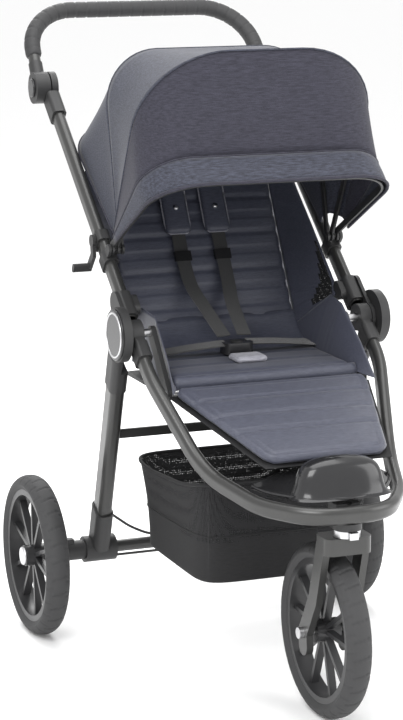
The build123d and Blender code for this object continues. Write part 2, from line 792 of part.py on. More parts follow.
handle_travel = 4.0
with BuildPart() as adjust_button:
    with BuildSketch(side(handle_hub_x + handle_hub_thick - 8 + handle_travel + 0.4)):
        with Locations((pivot_y, pivot_z)):
            Circle(button_radius)
    extrude(amount=8)
    fillet(adjust_button.faces().sort_by(Axis.X)[-1].edges(), 2)
write_pair(adjust_button.part, "adjust_button")

with BuildPart() as handle_knuckle:
    with BuildSketch(side(knuckle_x)):
        with Locations((pivot_y, pivot_z)):
            Circle(knuckle_radius)
    extrude(amount=knuckle_thick)
    add(sleeve(on_upper(upper_length - 78), upper_direction, 52))
    with BuildSketch(side(handle_hub_x - gap)):
        with Locations((pivot_y, pivot_z)):
            Circle(knuckle_radius + 2)
    extrude(amount=30, mode=Mode.SUBTRACT)
    with BuildSketch(along(on_upper(upper_length - 90), upper_direction)):
        RectangleRounded(tube_thick + 2 * slip, tube_deep + 2 * slip, tube_thick / 2 - 0.2)
    extrude(amount=90 - knuckle_radius - 3 + slip, mode=Mode.SUBTRACT)
    add(rod(knuckle_x, handle_hub_x + handle_hub_thick - 8 - slip, pivot_y, pivot_z,
            hub_pin_radius))
write_both(handle_knuckle.part, "handle_knuckles")

# ---- canopy: flat bows on pins beside the tubes, and a panel of cloth between each two ------------------
canopy_y, canopy_z = tuple(on_upper(canopy_along, canopy_above))[1:]
canopy_pivot = Vector(0, canopy_y, canopy_z)
canopy_pin_radius, eye_radius = 4.0, 9.0
bow_thick, bow_wide = 4.0, 12.0
lug_x, lug_thick = 216.5, 5.0


def canopy_plane(angle):
    """The plane through the canopy's pivots, with local y pointing away from them."""
    return Plane(origin=canopy_pivot, x_dir=(1, 0, 0),
                 z_dir=(0, -sin(radians(angle)), cos(radians(angle))))


def arch(plane, half_width, height, corner, foot):
    """The area under an arch with round corners, from foot up to height."""
    with BuildSketch(plane) as area:
        with BuildLine():
            FilletPolyline((-half_width, foot), (-half_width, height), (half_width, height),
                           (half_width, foot), radius=corner)
            Line((-half_width, foot), (half_width, foot))
        make_face()
    return area.sketch


def panel(first, second):
    """A panel of cloth from one arch to another."""
    outside = []
    inside = []
    for (angle, height, half_width, corner), turn in ((first, 1), (second, -1)):
        plane = canopy_plane(angle)
        outside.append(arch(plane.offset(turn * soft_gap), half_width, height, corner, canopy_start))
        inside.append(arch(plane.offset(-turn), half_width - cloth, height - cloth,
                           corner - cloth, canopy_start - 15))
    with BuildPart() as skin:
        loft(outside, ruled=True)
        loft(inside, ruled=True, mode=Mode.SUBTRACT)
    return skin.part


def bow(shape, inset, leg_outside, start):
    """A bow bent from flat bar, with eyes round the canopy pins."""
    angle, height, half_width, corner = shape
    plane = canopy_plane(angle).offset(start)
    with BuildPart() as bent:
        extrude(arch(plane, leg_outside, height - inset, corner, 0), amount=bow_wide)
        for turn in (-1, 1):
            x = leg_outside - bow_thick if turn == 1 else -leg_outside
            add(rod(x, x + bow_thick, canopy_y, canopy_z, eye_radius))
        extrude(arch(plane.offset(-1), leg_outside - bow_thick, height - inset - bow_thick,
                     corner - bow_thick, -2 * eye_radius), amount=bow_wide + 2, mode=Mode.SUBTRACT)
        add(rod(-leg_outside + bow_thick, leg_outside - bow_thick, canopy_y, canopy_z,
                eye_radius + 1), mode=Mode.SUBTRACT)
        add(rod(-leg_outside - 1, leg_outside + 1, canopy_y, canopy_z,
                canopy_pin_radius + running), mode=Mode.SUBTRACT)
    return bent.part


write(panel(hem, bow_rear), "canopy_back")
write(panel(bow_rear, bow_middle), "canopy_roof")
write(panel(bow_middle, bow_front), "canopy_front")
write(panel(bow_front, visor_edge), "canopy_visor")
write(bow(bow_rear, 7.0, 196.5, -6.0), "rear_bow")
write(bow(bow_middle, 14.0, 205.0, -8.0), "middle_bow")
write(bow(visor_edge, 9.5, 214.5, -12.5), "front_bow")

with BuildPart() as canopy_mount:
    add(sleeve(on_upper(canopy_along - 12), upper_direction, 24))
    lug_foot = on_upper(canopy_along, tube_deep / 2 + 9.5)
    add(bar(lug_x, lug_thick, [(canopy_y, canopy_z), (lug_foot.Y, lug_foot.Z)], 18))
    add(rod(191, lug_x + 1, canopy_y, canopy_z, canopy_pin_radius))
write_both(canopy_mount.part, "canopy_mounts")

# ---- side panels of cloth, between the upper tubes and the seat back -------------------------------------
panel_thick = 2.0
panel_x = bracket_x - panel_thick - 1.0
with BuildPart() as side_panel:
    with BuildSketch(side(panel_x)):
        Polygon(tuple(on_upper(92, -17))[1:], tuple(on_upper(352, -17))[1:],
                tuple(on_back(285, -4))[1:], tuple(on_back(46, -4))[1:],
                (axle_y - 188, seat_height + 14), align=None)
    extrude(amount=panel_thick)
write_both(side_panel.part, "side_panels")

# ---- basket: an open tub of cloth under the seat ---------------------------------------------------------
basket_wall = 2.5
basket_outline = [(basket_back, basket_rim), (basket_back - 12, basket_floor + 12),
                  (basket_back - 30, basket_floor), (basket_front + 34, basket_floor),
                  (basket_front + 14, basket_floor + 14), (basket_front, basket_rim + 22)]
with BuildPart() as basket:
    with BuildSketch(side(-basket_half_width)) as tub:
        with Locations((axle_y, 0)):
            Polygon(*basket_outline, align=None)
    extrude(amount=2 * basket_half_width)
    opening = basket.faces().sort_by(Axis.Z)[-1]
    offset(amount=-basket_wall, openings=opening)
write(basket.part, "basket")

# ---- parking brake: a lever on the right upper tube, and its cable down the right leg ------------------------
lever_distance, lever_above = 214.0, 0.0
lever_pivot = on_upper(lever_distance, lever_above)
lever_pin_radius = 3.5
clamp_face = side_outside + sleeve_wall
lever_x, lever_thick = clamp_face + 0.6, 6.0
with BuildPart() as brake_mount_left:
    add(sleeve(on_upper(lever_distance - 11), upper_direction, 22))
    add(rod(clamp_face - 1, lever_x + lever_thick, lever_pivot.Y, lever_pivot.Z, lever_pin_radius))
write(mirror(brake_mount_left.part, about=Plane.YZ), "brake_mount")

with BuildPart() as brake_lever_left:
    hook = [(lever_pivot.Y, lever_pivot.Z), (lever_pivot.Y - 4, lever_pivot.Z - 24),
            (lever_pivot.Y + 16, lever_pivot.Z - 46)]
    add(bar(lever_x, lever_thick, hook, 13))
    add(bar(lever_x, 34, hook[-1:] + [(hook[-1][0] + 3, hook[-1][1] - 6)], 10))
    add(rod(lever_x, lever_x + lever_thick, lever_pivot.Y, lever_pivot.Z, 11))
    add(rod(lever_x - 1, lever_x + lever_thick + 1, lever_pivot.Y, lever_pivot.Z,
            lever_pin_radius + running), mode=Mode.SUBTRACT)
write(mirror(brake_lever_left.part, about=Plane.YZ), "brake_lever")

cable_radius = 2.5
foot_wall = 3.5
cable_beside = leg_thick / 2 + foot_wall + cable_radius + 1.0
cable_behind = 11.0  # clear of the brace between the legs


def by_leg(distance, behind=0.0):
    """A point beside the inner face of the right leg, for the brake cable."""
    point = on_leg(distance)
    return Vector(-point.X + cable_beside, point.Y + behind, point.Z)


cable_top, cable_along = 124.0, wheel_radius + cross_tube_radius + cable_radius + 1.5
cable_points = [by_leg(cable_top, cable_behind), by_leg(leg_length - 134, cable_behind + 2),
                by_leg(leg_length - 84, cable_behind + 16),
                Vector(-122, axle_y + 8, cable_along + 16), Vector(-86, axle_y, cable_along),
                Vector(96, axle_y, cable_along), Vector(housing_start, axle_y, cable_along - 1)]
with BuildPart() as brake_cable:
    with BuildLine():
        cable_line = FilletPolyline(*cable_points, radius=[90, 45, 55, 70, 400])
    with BuildSketch(Plane(origin=cable_line @ 0, z_dir=cable_line % 0)):
        Circle(cable_radius)
    sweep(path=cable_line)
write(brake_cable.part, "brake_cable")
print("cable length", round(cable_line.length), "volume / section",
      round(brake_cable.part.volume / (3.14159 * cable_radius ** 2)))
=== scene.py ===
"""Looks of the folding baby stroller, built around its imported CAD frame. Units are metres."""

import json
from math import ceil, cos, pi, radians, sin, tan

import bmesh
import bpy
from mathutils import Matrix, Vector


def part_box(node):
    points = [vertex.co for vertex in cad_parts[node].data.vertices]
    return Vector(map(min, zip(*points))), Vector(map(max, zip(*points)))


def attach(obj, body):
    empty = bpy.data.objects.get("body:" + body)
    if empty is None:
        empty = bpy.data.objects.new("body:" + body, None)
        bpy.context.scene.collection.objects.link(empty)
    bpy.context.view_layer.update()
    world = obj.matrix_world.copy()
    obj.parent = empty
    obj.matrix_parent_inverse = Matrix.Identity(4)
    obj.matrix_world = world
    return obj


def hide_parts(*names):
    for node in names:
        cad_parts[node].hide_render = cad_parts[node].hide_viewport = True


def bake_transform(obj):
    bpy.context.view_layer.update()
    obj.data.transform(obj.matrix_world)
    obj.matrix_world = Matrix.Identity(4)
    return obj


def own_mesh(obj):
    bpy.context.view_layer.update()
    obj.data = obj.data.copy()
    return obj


MM = 0.001
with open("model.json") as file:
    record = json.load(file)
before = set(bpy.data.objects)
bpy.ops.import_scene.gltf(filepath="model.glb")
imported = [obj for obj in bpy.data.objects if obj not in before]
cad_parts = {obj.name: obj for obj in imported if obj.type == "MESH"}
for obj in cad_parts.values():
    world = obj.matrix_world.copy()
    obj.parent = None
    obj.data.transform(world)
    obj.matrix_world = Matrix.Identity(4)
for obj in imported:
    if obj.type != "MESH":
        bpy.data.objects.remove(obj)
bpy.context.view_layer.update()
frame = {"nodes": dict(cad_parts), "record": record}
scene = bpy.context.scene
axle_low, axle_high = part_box("rear_axle")
AXLE = (axle_low + axle_high) / 2
WHEEL = AXLE.z


def at(x, y, z):
    """A point in millimetres, with y counted from the rear axle and z from the ground."""
    return Vector((x * MM, AXLE.y + y * MM, z * MM))


def clamp(value, low=0.0, high=1.0):
    """Value, kept between low and high."""
    return max(low, min(high, value))


# ---- shader trees --------------------------------------------------------------------
class Wire:
    """An output socket; sums and products of wires add Math nodes."""

    def __init__(self, finish, socket):
        self.finish = finish
        self.socket = socket

    def math(self, operation, first, second):
        return self.finish.add("ShaderNodeMath", {"operation": operation}, {0: first, 1: second})[0]

    def __add__(self, other):
        return self.math("ADD", self, other)

    def __radd__(self, other):
        return self.math("ADD", other, self)

    def __mul__(self, other):
        return self.math("MULTIPLY", self, other)

    def __rmul__(self, other):
        return self.math("MULTIPLY", other, self)


class Finish:
    """A material with one Principled shader, and the nodes that feed it."""

    def __init__(self, name, colour, roughness, metallic=0.0, **constants):
        self.material = bpy.data.materials.new(name)
        self.material.use_nodes = True
        self.tree = self.material.node_tree
        self.shader = self.tree.nodes["Principled BSDF"]
        self.shader.inputs["Base Color"].default_value = (*colour, 1)
        self.shader.inputs["Roughness"].default_value = roughness
        self.shader.inputs["Metallic"].default_value = metallic
        for socket, value in constants.items():
            self.shader.inputs[socket.replace("_", " ")].default_value = value
        self.place = self.add("ShaderNodeTexCoord", {}, {})["Object"]

    def add(self, kind, settings, sockets):
        """A node of this kind, set up and connected; its outputs, by name or number."""
        node = self.tree.nodes.new(kind)
        for key, value in settings.items():
            setattr(node, key, value)
        for key, value in sockets.items():
            if isinstance(value, Wire):
                self.tree.links.new(value.socket, node.inputs[key])
            else:
                node.inputs[key].default_value = value
        outputs = {o.name: Wire(self, o) for o in node.outputs}
        outputs.update({i: Wire(self, o) for i, o in enumerate(node.outputs)})
        return outputs

    def noise(self, scale, detail=2.0, stretch=(1, 1, 1)):
        """Fractal noise over the object, stretched along its axes."""
        placed = self.add("ShaderNodeMapping", {}, {"Vector": self.place, "Scale": stretch})[0]
        inputs = {"Vector": placed, "Scale": scale, "Detail": detail}
        return self.add("ShaderNodeTexNoise", {}, inputs)[0]

    def blend(self, factor, first, second):
        """A colour between two colours."""
        mix = self.add("ShaderNodeMix", {"data_type": "RGBA"}, {})
        node = mix[0].socket.node
        self.tree.links.new(factor.socket, node.inputs[0])
        for index, value in ((6, first), (7, second)):
            if isinstance(value, Wire):
                self.tree.links.new(value.socket, node.inputs[index])
            else:
                node.inputs[index].default_value = (*value, 1)
        return Wire(self, node.outputs[2])

    def colour(self, wire):
        self.tree.links.new(wire.socket, self.shader.inputs["Base Color"])
        return self

    def rough(self, wire):
        self.tree.links.new(wire.socket, self.shader.inputs["Roughness"])
        return self

    def bump(self, height, strength, distance):
        """Relief of a height of 0 to 1, in metres."""
        normal = self.add("ShaderNodeBump", {}, {"Height": height, "Strength": strength,
                                                 "Distance": distance})[0]
        self.tree.links.new(normal.socket, self.shader.inputs["Normal"])
        return self

    def alpha(self, wire):
        self.tree.links.new(wire.socket, self.shader.inputs["Alpha"])
        return self

    def waves(self, scale, direction, distortion=0.0):
        """Sine bands along one axis."""
        return self.add("ShaderNodeTexWave", {"bands_direction": direction, "wave_profile": "SIN"},
                        {"Vector": self.place, "Scale": scale, "Distortion": distortion})["Fac"]


def cloth(name, dark, light, roughness, streak, weave=700.0, sheen=0.15):
    """Woven cloth: heather streaks, a fine weave and a soft sheen."""
    finish = Finish(name, dark, roughness, Sheen_Weight=sheen, Sheen_Roughness=0.4)
    streaks = finish.noise(streak, 5.0, (0.35, 1.0, 2.6))
    yarn = finish.noise(weave, 1.0)
    grain = streaks * 0.7 + yarn * 0.3
    ramp = finish.add("ShaderNodeMapRange", {}, {"Value": grain, "From Min": 0.36, "From Max": 0.66})[0]
    finish.colour(finish.blend(ramp, dark, light))
    finish.bump(yarn * 0.6 + finish.noise(weave * 0.5, 2.0) * 0.4, 0.35, 0.0006)
    return finish.material


def moulded(name, colour, roughness, grain, strength):
    """Moulded plastic or rubber with a fine texture and slow changes of gloss."""
    finish = Finish(name, colour, roughness)
    slow = finish.noise(14.0, 3.0)
    lighter = tuple(min(1.0, c * 1.35 + 0.004) for c in colour)
    finish.colour(finish.blend(slow, colour, lighter))
    finish.rough(slow * 0.12 + (roughness - 0.06))
    finish.bump(finish.noise(grain, 2.0), strength, 0.0004)
    return finish.material


def painted(name, colour, roughness):
    """Satin paint with fine metal flake."""
    finish = Finish(name, colour, roughness, 0.55, Coat_Weight=0.25, Coat_Roughness=0.25)
    flake = finish.noise(1600.0, 1.0)
    finish.colour(finish.blend(flake, tuple(c * 0.75 for c in colour), tuple(c * 1.3 for c in colour)))
    finish.rough(finish.noise(30.0, 3.0) * 0.14 + (roughness - 0.07))
    finish.bump(flake, 0.12, 0.0002)
    return finish.material


def brushed(name, colour, roughness):
    """Brushed steel."""
    finish = Finish(name, colour, roughness, 1.0)
    lines = finish.noise(300.0, 3.0, (1.0, 1.0, 14.0))
    finish.rough(lines * 0.2 + (roughness - 0.1))
    finish.bump(lines, 0.08, 0.0002)
    return finish.material


def mesh_cloth(name, colour, pitch):
    """Open mesh: round holes in a black knit."""
    finish = Finish(name, colour, 0.85)
    cells = finish.add("ShaderNodeTexVoronoi", {"feature": "F1"},
                       {"Vector": finish.place, "Scale": 1.0 / pitch, "Randomness": 0.25})["Distance"]
    solid = finish.add("ShaderNodeMapRange", {}, {"Value": cells, "From Min": 0.22, "From Max": 0.4,
                                                  "To Min": 0.45, "To Max": 1.0})[0]
    finish.alpha(solid)
    finish.bump(cells, 0.4, 0.0006)
    return finish.material


def webbing_cloth(name, colour):
    """Ribbed webbing."""
    finish = Finish(name, colour, 0.6, Sheen_Weight=0.3)
    ribs = finish.waves(180.0, "DIAGONAL")
    finish.colour(finish.blend(ribs, tuple(c * 0.6 for c in colour), tuple(c * 1.7 for c in colour)))
    finish.bump(ribs, 0.5, 0.0005)
    return finish.material


canopy_cloth = cloth("heather slate canopy cloth", (0.011, 0.012, 0.020),
                     (0.046, 0.050, 0.073), 0.85, 190, sheen=0.08)
panel_cloth = cloth("dark slate panel cloth", (0.011, 0.0105, 0.019), (0.031, 0.030, 0.046), 0.85, 190,
                    sheen=0.06)
seat_cloth = cloth("slate seat cloth", (0.040, 0.043, 0.063), (0.066, 0.071, 0.099), 0.5, 260)
black_cloth = cloth("black bag cloth", (0.003, 0.003, 0.0035),
                    (0.009, 0.009, 0.010), 0.85, 220, sheen=0.0)
grey_cloth = cloth("light grey quilt cloth", (0.20, 0.20, 0.23), (0.36, 0.36, 0.40), 0.8, 220)
black_mesh = mesh_cloth("black basket mesh", (0.005, 0.005, 0.006), 0.0034)
webbing = webbing_cloth("black webbing", (0.014, 0.014, 0.015))
frame_paint = painted("charcoal frame paint", (0.046, 0.046, 0.045), 0.36)
black_plastic = moulded("black moulded plastic", (0.014, 0.014, 0.0145), 0.5, 900, 0.35)
gloss_plastic = moulded("gloss black plastic", (0.012, 0.012, 0.013), 0.16, 60, 0.02)
rim_plastic = moulded("black rim plastic", (0.018, 0.018, 0.019), 0.36, 700, 0.2)
grip_rubber = moulded("grip rubber", (0.018, 0.018, 0.019), 0.62, 1300, 0.6)
tyre_rubber = moulded("tyre rubber", (0.026, 0.026, 0.027), 0.72, 800, 0.5)
steel = brushed("brushed steel", (0.60, 0.60, 0.61), 0.32)
piping_cloth = cloth("light piping", (0.16, 0.16, 0.19), (0.28, 0.28, 0.32), 0.7, 300)

SLOT_LOOKS = {
    "frame_paint": frame_paint, "black_plastic": black_plastic, "gloss_black": gloss_plastic,
    "steel": steel, "tyre_rubber": tyre_rubber, "grip_foam": grip_rubber,
    "canopy_cloth": canopy_cloth, "panel_cloth": panel_cloth, "seat_cloth": seat_cloth,
    "black_cloth": black_cloth, "webbing": webbing, "light_cloth": grey_cloth,
}
for part in frame["record"]["subparts"]:
    node = frame["nodes"][part["node"]]
    node.data.materials.clear()
    node.data.materials.append(SLOT_LOOKS[part["material_slot"]])
for name in ("rim_left", "rim_right", "rim_front"):
    frame["nodes"][name].data.materials[0] = rim_plastic


# ---- mesh helpers --------------------------------------------------------------------
def piece(name, vertices, faces, materials, smooth=True):
    """A mesh object at the origin, with its faces pointing out."""
    mesh = bpy.data.meshes.new(name)
    mesh.from_pydata([tuple(v) for v in vertices], [], faces)
    for material in materials:
        mesh.materials.append(material)
    shape = bmesh.new()
    shape.from_mesh(mesh)
    bmesh.ops.remove_doubles(shape, verts=shape.verts, dist=1e-6)
    bmesh.ops.recalc_face_normals(shape, faces=shape.faces)
    shape.to_mesh(mesh)
    shape.free()
    for face in mesh.polygons:
        face.use_smooth = smooth
    thing = bpy.data.objects.new(name, mesh)
    scene.collection.objects.link(thing)
    return thing


def grid_faces(rows, columns, start=0, closed=False):
    """Quads between rows of columns points each."""
    faces = []
    for i in range(rows - 1):
        for j in range(columns if closed else columns - 1):
            k = (j + 1) % columns
            faces.append((start + i * columns + j, start + i * columns + k,
                          start + (i + 1) * columns + k, start + (i + 1) * columns + j))
    return faces


def shell_faces(rows, columns):
    """A closed shell's faces: a front grid of points, a back grid, and the rim between them."""
    count = rows * columns
    faces = grid_faces(rows, columns)
    faces += [tuple(reversed(face)) for face in grid_faces(rows, columns, count)]
    rim = [(i * columns + j, (i + 1) * columns + j) for i in range(rows - 1) for j in (0, columns - 1)]
    rim += [(i * columns + j, i * columns + j + 1) for j in range(columns - 1) for i in (0, rows - 1)]
    return faces + [(a, b, b + count, a + count) for a, b in rim]


def solidify(thing, thickness, offset=0.0):
    """Gives a sheet its thickness."""
    modifier = thing.modifiers.new("thickness", "SOLIDIFY")
    modifier.thickness = thickness
    modifier.offset = offset
    return thing


def soften(thing, levels=1):
    """Subdivides a piece, the same in every view."""
    modifier = thing.modifiers.new("smooth", "SUBSURF")
    modifier.levels = levels
    modifier.render_levels = levels
    return thing


def finish_piece(thing, body, slot, *replaced):
    """A piece that rides on one body and stands for CAD nodes."""
    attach(thing, body)
    if replaced:
        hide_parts(*replaced)
    return thing


def tube_mesh(name, path, radii, material, sides=20, caps=True):
    """A round tube along a path, with a radius at each of its points."""
    vertices, faces = [], []
    normal = None
    for i, point in enumerate(path):
        ahead = (path[min(i + 1, len(path) - 1)] - path[max(i - 1, 0)]).normalized()
        if normal is None:
            normal = ahead.orthogonal().normalized()
        normal = (normal - ahead * normal.dot(ahead)).normalized()
        across = ahead.cross(normal)
        for j in range(sides):
            turn = 2 * pi * j / sides
            vertices.append(point + (normal * cos(turn) + across * sin(turn)) * radii[i])
    faces += grid_faces(len(path), sides, closed=True)
    if caps:
        faces.append(tuple(range(sides)))
        faces.append(tuple(range(len(vertices) - sides, len(vertices))))
    return piece(name, vertices, faces, [material])


def strap(name, path, across, width, thickness, material):
    """A flat strap along a path, lying across a given direction."""
    vertices, faces = [], []
    for i, point in enumerate(path):
        ahead = (path[min(i + 1, len(path) - 1)] - path[max(i - 1, 0)]).normalized()
        side = (across - ahead * across.dot(ahead)).normalized()
        up = side.cross(ahead)
        for a, b in ((-1, -1), (-0.92, 1), (0.92, 1), (1, -1)):
            vertices.append(point + side * a * width / 2 + up * b * thickness / 2)
    faces += grid_faces(len(path), 4, closed=True)
    faces += [(0, 1, 2, 3), tuple(range(len(vertices) - 4, len(vertices)))]
    return piece(name, vertices, faces, [material], smooth=False)


def curve_points(points, per_span=8):
    """A smooth curve through points."""
    out = []
    n = len(points)
    for i in range(n - 1):
        p0, p1 = points[max(i - 1, 0)], points[i]
        p2, p3 = points[i + 1], points[min(i + 2, n - 1)]
        for k in range(per_span):
            t = k / per_span
            out.append(0.5 * ((2 * p1) + (p2 - p0) * t + (2 * p0 - 5 * p1 + 4 * p2 - p3) * t * t
                              + (3 * p1 - 3 * p2 + p3 - p0) * t * t * t))
    out.append(points[-1])
    return out


# ---- camera, lights and floor --------------------------------------------------------
def look_from(azimuth, elevation, distance, target, lens, shift):
    """The camera, by the direction that it looks from."""
    a, e = radians(azimuth), radians(elevation)
    away = Vector((sin(a) * cos(e), -cos(a) * cos(e), sin(e)))
    data = bpy.data.cameras.new("camera")
    data.lens = lens
    data.sensor_width = 36
    data.shift_x = shift
    camera = bpy.data.objects.new("camera", data)
    camera.location = target + away * distance
    camera.rotation_euler = (-away).to_track_quat("-Z", "Y").to_euler()
    scene.collection.objects.link(camera)
    scene.camera = camera


def soft_light(name, place, target, size, power):
    """A square area light."""
    data = bpy.data.lights.new(name, "AREA")
    data.size = size
    data.energy = power
    light = bpy.data.objects.new(name, data)
    light.location = place
    light.rotation_euler = (target - place).to_track_quat("-Z", "Y").to_euler()
    scene.collection.objects.link(light)


middle = at(3.9, -47.5, 492.8)
look_from(-21.62, 11.67, 4.366, middle, 119.9, -0.0046)
soft_light("key", middle + Vector((-2.2, -2.6, 2.6)), middle, 2.2, 110)
soft_light("fill", middle + Vector((2.8, -2.0, 1.2)), middle, 2.4, 55)
soft_light("back", middle + Vector((0.6, 2.8, 2.4)), middle, 2.0, 70)
soft_light("top", middle + Vector((0, -0.3, 3.0)), middle, 2.5, 60)
world = bpy.data.worlds.new("studio")
world.use_nodes = True
world.node_tree.nodes["Background"].inputs[0].default_value = (1, 1, 1, 1)
world.node_tree.nodes["Background"].inputs[1].default_value = 1.0
scene.world = world
scene.view_settings.view_transform = "Standard"

floor_finish = Finish("pale floor", (0.97, 0.97, 0.97), 0.8)
floor_finish.bump(floor_finish.noise(40.0), 0.02, 0.001)
floor = piece("floor", [(-90, -90, 0), (90, -90, 0), (90, 90, 0), (-90, 90, 0)], [(0, 1, 2, 3)],
              [floor_finish.material])


# ---- canopy --------------------------------------------------------------------------
PIVOT = at(0, -160, 726)
# each bow and edge: angle from level-back, height, half width, corner radius, in mm
HEM = (33.0, 338.0, 198.0, 90.0)
REAR_BOW = (76.6, 345.0, 199.5, 100.0)
MIDDLE_BOW = (116.7, 391.0, 216.0, 150.0)
SEAM = (138.3, 268.0, 221.0, 80.0)
EDGE = (151.0, 289.0, 219.0, 85.0)
CLOTH_START = 40.0
CANOPY_THICK = 1.4


def arch_points(height, half_width, corner, foot, side_steps=12, corner_steps=12, top_steps=18):
    """Points (x, s) along an arch, up one side, round the corners and down the other side."""
    points = []
    for i in range(side_steps):
        points.append((-half_width, foot + (height - corner - foot) * i / side_steps))
    for i in range(corner_steps):
        turn = pi / 2 * i / corner_steps
        points.append((-half_width + corner * (1 - cos(turn)), height - corner * (1 - sin(turn))))
    for i in range(top_steps + 1):
        x = -half_width + corner + (2 * half_width - 2 * corner) * i / top_steps
        points.append((x, height))
    for x, s in reversed(points[:side_steps + corner_steps]):
        points.append((-x, s))
    return points


def in_plane(angle, x, s):
    """The point of a plane through the canopy's pivots."""
    turn = radians(angle)
    return PIVOT + Vector((x, s * cos(turn), s * sin(turn))) * MM


def canopy_panel(name, first, second, rows, sag, material):
    """The cloth between two bows, drawn tight and sagging a little between them."""
    start = [in_plane(first[0], *p) for p in arch_points(*first[1:], CLOTH_START)]
    stop = [in_plane(second[0], *p) for p in arch_points(*second[1:], CLOTH_START)]
    columns = len(start)
    centre = PIVOT + Vector((0, 0, 0.12))
    vertices = []
    for i in range(rows + 1):
        v = i / rows
        dip = sag * 4 * v * (1 - v)
        for a, b in zip(start, stop):
            point = a.lerp(b, v)
            inward = centre - point
            inward.x *= 0.4
            far = clamp((point - PIVOT).length / 0.2)
            vertices.append(point + inward.normalized() * dip * far * MM)
    return piece(name, vertices, grid_faces(rows + 1, columns), [material])


def seam_tube(name, points, radius, material, sides=6):
    """A sewn, piped edge along points."""
    return tube_mesh(name, points, [radius] * len(points), material, sides)


def canopy():
    """Four panels of cloth over three bows, with bound edges."""
    back = canopy_panel("canopy_back_cloth", HEM, REAR_BOW, 14, 4.0, canopy_cloth)
    roof = canopy_panel("canopy_roof_cloth", REAR_BOW, MIDDLE_BOW, 14, 5.0, canopy_cloth)
    front = canopy_panel("canopy_front_cloth", MIDDLE_BOW, SEAM, 12, 2.0, panel_cloth)
    visor = canopy_panel("canopy_visor_cloth", SEAM, EDGE, 6, -1.5, canopy_cloth)
    tops = {key: in_plane(shape[0], 0, shape[1]) for key, shape in
            (("hem", HEM), ("rear", REAR_BOW), ("middle", MIDDLE_BOW), ("seam", SEAM), ("edge", EDGE))}
    spans = ((back, "upper_frame", "canopy_rear", tops["hem"], tops["rear"], HEM, REAR_BOW),
             (roof, "canopy_rear", "canopy_middle", tops["rear"], tops["middle"], REAR_BOW, MIDDLE_BOW),
             (front, "canopy_middle", "canopy_nose", tops["middle"], tops["seam"], MIDDLE_BOW, SEAM))
    for thing, slot, node in ((back, "canopy_cloth", "canopy_back"),
                              (roof, "canopy_cloth", "canopy_roof"),
                              (front, "panel_cloth", "canopy_front"),
                              (visor, "canopy_cloth", "canopy_visor")):
        solidify(thing, CANOPY_THICK * MM, -1.0)
        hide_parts(node)
    for thing, a, b, start, end, first, second in spans:
        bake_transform(thing)
        wide = 2 * max(shape[1] + shape[2] for shape in (first, second)) * MM
    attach(visor, "canopy_nose")
    wide = 2 * (EDGE[1] + EDGE[2]) * MM
    for name, shape, body, radius, material in (
            ("canopy_hem_binding", HEM, "upper_frame", 2.2, panel_cloth),
            ("canopy_rear_seam", REAR_BOW, "canopy_rear", 1.5, canopy_cloth),
            ("canopy_middle_seam", MIDDLE_BOW, "canopy_middle", 1.8, canopy_cloth),
            ("canopy_visor_seam", SEAM, "canopy_nose", 1.6, panel_cloth),
            ("canopy_edge_binding", EDGE, "canopy_nose", 2.8, panel_cloth)):
        points = [in_plane(shape[0], *p) for p in arch_points(*shape[1:], CLOTH_START)]
        finish_piece(seam_tube(name, points, radius * MM, material), body, "panel_cloth")


canopy()


# ---- padded pieces -------------------------------------------------------------------
def pad(name, origin, across, along, out, half_width, length, thickness, seams, material,
        crown=4.0, corner=18.0, step=4.0, seam_depth=3.2, border=0.0):
    """A sewn pad: crowned front, flat back, soft edges, and channels across it.

    half_width is a function of the distance along the pad; all sizes are in mm.
    """
    rows = int(ceil(length / step))
    columns = 44
    front, back = [], []
    for i in range(rows + 1):
        v = length * i / rows
        end = min(v, length - v)
        pull = 0.0
        for seam in seams:
            pull += 1.6 * max(0.0, 1 - abs(v - seam) / 14)
        narrow = corner * (1 - (clamp(end / corner) * (2 - clamp(end / corner))) ** 0.5)
        half = half_width(v) - narrow - 0.6 * pull
        for j in range(columns + 1):
            u = -1 + 2 * j / columns
            x = half * (abs(u) ** 0.85) * (1 if u >= 0 else -1)
            edge = min(half - abs(x), end + 0.01)
            soft = clamp(edge / (0.75 * thickness))
            round_edge = (soft * (2 - soft)) ** 0.5
            groove = 0.0
            for seam in seams:
                for line in (seam - 3.0, seam + 3.0):
                    groove = max(groove, max(0.0, 1 - abs(v - line) / 4.0) ** 1.5)
            if border:
                groove = max(groove, max(0.0, 1 - abs(edge - border) / 4.0) ** 1.5)
            full = crown * clamp(edge / 60) ** 0.6
            top = thickness * (0.5 + 0.5 * round_edge) + (full - seam_depth * groove) * round_edge
            bottom = thickness * 0.5 * (1 - round_edge)
            base = origin + across * x * MM + along * v * MM
            front.append(base + out * top * MM)
            back.append(base + out * bottom * MM)
    return piece(name, front + back, shell_faces(rows + 1, columns + 1), [material])


LEAN = radians(62.0)
BACK_UP = Vector((0, cos(LEAN), sin(LEAN)))
BACK_FRONT = Vector((0, -sin(LEAN), cos(LEAN)))
BACK_FOOT = at(0, -120, 535)
SIDEWAYS = Vector((1, 0, 0))
CALF_HINGE = at(0, -343, 506)
CALF_END = at(0, -600, 430)
BACK_CHANNEL = 34  # between two sewn channels of the back pad
PAD_SEAM = 4.5  # how deep the pads' channels are


def on_back(up, front, x=0.0):
    """A point of the backrest: up it, ahead of its face, and to the side, in mm."""
    return BACK_FOOT + (BACK_UP * up + BACK_FRONT * front + SIDEWAYS * x) * MM


